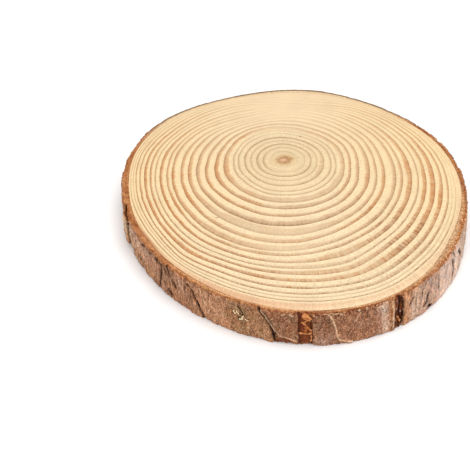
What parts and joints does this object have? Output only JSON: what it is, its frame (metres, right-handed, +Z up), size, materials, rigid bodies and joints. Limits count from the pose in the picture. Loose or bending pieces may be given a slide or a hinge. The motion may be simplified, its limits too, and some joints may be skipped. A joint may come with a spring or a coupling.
{
  "type": "wood slice",
  "caption": "Round natural slice cut square across a conifer stem: off-centre growth rings on a sanded face, and a band of cracked bark around the edge.",
  "frame": {"origin": "middle of the plan box on the lower sawn face, which is the surface that the slice lies on", "axes": "+Z up, square to the sawn faces; +Y towards the narrow side, which is nearest the pith; +X to the right seen from the wide side"},
  "size_m": [0.0872, 0.093, 0.01],
  "materials": {
    "wood": "sanded, uncoated",
    "bark": "raw bark, rough and matt"
  },
  "bodies": {
    "root": {"wood": "wood", "bark": "bark"}
  },
  "joints": []
}
